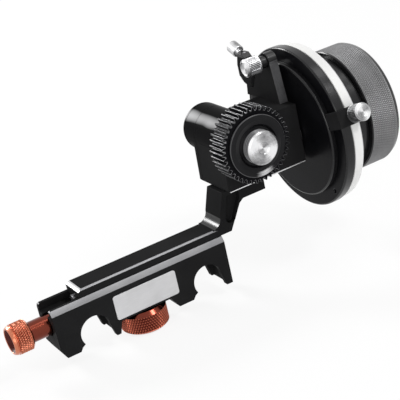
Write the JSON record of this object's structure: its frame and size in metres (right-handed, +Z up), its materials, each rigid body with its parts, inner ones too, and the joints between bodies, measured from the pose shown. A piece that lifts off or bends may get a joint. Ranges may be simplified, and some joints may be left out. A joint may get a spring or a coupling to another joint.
{
  "type": "follow focus unit",
  "caption": "Rod-mounted follow focus: clamp for two support rods, sliding arm, right-angle gearbox, toothed drive gear and a marked handwheel with rim stops.",
  "frame": {"origin": "centre of the left rod seat, half way through the clamp's depth", "axes": "+X along the clamp towards the handwheel, +Y along the rods to the back, away from the drive gear, +Z up"},
  "size_m": [0.2057, 0.1022, 0.1051],
  "materials": {
    "black_anodised": "satin black anodised",
    "black_gear": "black, machined teeth",
    "nameplate": "brushed, bare",
    "orange_anodised": "orange-red anodised",
    "zinc_steel": "bright zinc",
    "bearing_steel": "ground",
    "brass": "machined",
    "silver_turned": "turned",
    "white_plastic": "matte white",
    "grey_retainer": "satin grey",
    "knurled_grip": "fine diamond knurl, black",
    "seal_rubber": "matt"
  },
  "bodies": {
    "clamp": {"rod_clamp": "black_anodised", "nameplate": "nameplate", "side_bush": "zinc_steel", "bottom_bush": "zinc_steel"},
    "side_knob": {"side_knob": "orange_anodised", "side_screw": "zinc_steel"},
    "side_pad": {"side_pad": "brass"},
    "bottom_knob": {"bottom_knob": "orange_anodised", "bottom_screw": "zinc_steel"},
    "lock_shoe": {"lock_shoe": "brass"},
    "arm": {"arm": "black_anodised", "arm_stop_screw": "zinc_steel", "gearbox_housing": "black_anodised", "gearbox_cover": "black_anodised", "cover_screws": "zinc_steel", "mounting_screws": "zinc_steel", "front_bearing": "bearing_steel", "rear_bearing": "bearing_steel", "wheel_bearings": "bearing_steel", "bearing_cover": "zinc_steel", "bearing_cover_screws": "zinc_steel", "cross_bushes": "brass", "rear_cap": "black_anodised", "stop_bracket": "black_anodised", "bracket_studs": "zinc_steel", "pin_seal": "seal_rubber", "lock_block": "black_anodised", "lock_block_screw": "zinc_steel"},
    "drive": {"drive_shaft": "bearing_steel", "drive_pinion": "brass", "drive_gear": "black_gear", "gear_key": "zinc_steel", "gear_flange": "black_gear", "shaft_clip": "zinc_steel"},
    "thumb_screw": {"thumb_screw": "silver_turned"},
    "cross": {"cross_shaft": "bearing_steel", "cross_bevel": "brass", "cross_gear": "brass", "cross_spacer": "bearing_steel"},
    "handwheel": {"wheel_shaft": "bearing_steel", "wheel_bevel": "brass", "wheel_hub": "black_anodised", "wheel_disc": "black_anodised", "marking_ring": "white_plastic", "ring_retainer": "grey_retainer", "wheel_neck": "black_anodised", "wheel_grip": "knurled_grip", "wheel_cap": "black_anodised", "wheel_screws": "zinc_steel", "wheel_nut": "zinc_steel"},
    "stop_a": {"stop_clamp_a": "black_anodised"},
    "stop_a_screw": {"stop_screw_a": "silver_turned"},
    "stop_b": {"stop_clamp_b": "black_anodised"},
    "stop_b_screw": {"stop_screw_b": "silver_turned"},
    "stop_pin": {"stop_pin": "black_anodised", "pin_knob": "silver_turned"},
    "bracket_lock": {"bracket_lock_screw": "silver_turned"}
  },
  "joints": [
    {"name": "side_knob_turn", "type": "hinge", "parent": "clamp", "child": "side_knob", "pos_m": [-0.0184, 0, 0.0085], "axis": [1, 0, 0], "range_deg": [0, 540]},
    {"name": "side_pad_slide", "type": "slide", "parent": "clamp", "child": "side_pad", "axis": [1, 0, 0], "range_m": [0, 0.0015]},
    {"name": "bottom_knob_turn", "type": "hinge", "parent": "clamp", "child": "bottom_knob", "pos_m": [0.0275, 0, 0], "axis": [0, 0, 1], "range_deg": [0, 144]},
    {"name": "lock_shoe_slide", "type": "slide", "parent": "clamp", "child": "lock_shoe", "axis": [0, 0, 1], "range_m": [0, 0.0004]},
    {"name": "arm_slide", "type": "slide", "parent": "clamp", "child": "arm", "axis": [1, 0, 0], "range_m": [-0.016, 0.024]},
    {"name": "handwheel_turn", "type": "hinge", "parent": "arm", "child": "handwheel", "pos_m": [0.1245, 0, 0.05117], "axis": [1, 0, 0], "continuous": true},
    {"name": "cross_shaft_turn", "type": "hinge", "parent": "arm", "child": "cross", "pos_m": [0.10365, 0, 0.05117], "axis": [0, 1, 0], "continuous": true},
    {"name": "drive_shaft_turn", "type": "hinge", "parent": "arm", "child": "drive", "pos_m": [0.0909, 0, 0.06087], "axis": [0, 1, 0], "continuous": true},
    {"name": "thumb_screw_turn", "type": "hinge", "parent": "drive", "child": "thumb_screw", "pos_m": [0.0909, -0.03, 0.06087], "axis": [0, -1, 0], "range_deg": [0, 720]},
    {"name": "stop_a_swing", "type": "hinge", "parent": "handwheel", "child": "stop_a", "pos_m": [0.1275, 0, 0.05117], "axis": [1, 0, 0], "range_deg": [-50, 60]},
    {"name": "stop_a_screw_turn", "type": "hinge", "parent": "stop_a", "child": "stop_a_screw", "pos_m": [0.1331, -0.04303, 0.06433], "axis": [0, -0.9563, 0.2924], "range_deg": [0, 360]},
    {"name": "stop_b_swing", "type": "hinge", "parent": "handwheel", "child": "stop_b", "pos_m": [0.1275, 0, 0.05117], "axis": [1, 0, 0], "range_deg": [-50, 50]},
    {"name": "stop_b_screw_turn", "type": "hinge", "parent": "stop_b", "child": "stop_b_screw", "pos_m": [0.1331, 0.04078, 0.03215], "axis": [0, 0.9063, -0.4226], "range_deg": [0, 360]},
    {"name": "stop_pin_slide", "type": "slide", "parent": "arm", "child": "stop_pin", "axis": [1, 0, 0], "range_m": [0, 0.003]},
    {"name": "bracket_lock_turn", "type": "hinge", "parent": "arm", "child": "bracket_lock", "pos_m": [0.1203, 0.0254, 0.08712], "axis": [0, 0.9272, 0.3746], "range_deg": [0, 720]}
  ],
  "couplings": [
    {"joint": "side_pad_slide", "follows": "side_knob_turn", "m_per_rad": 0.00015915},
    {"joint": "lock_shoe_slide", "follows": "bottom_knob_turn", "m_per_rad": 0.00015915},
    {"joint": "cross_shaft_turn", "follows": "handwheel_turn", "ratio": 1},
    {"joint": "drive_shaft_turn", "follows": "handwheel_turn", "ratio": -1.5}
  ]
}
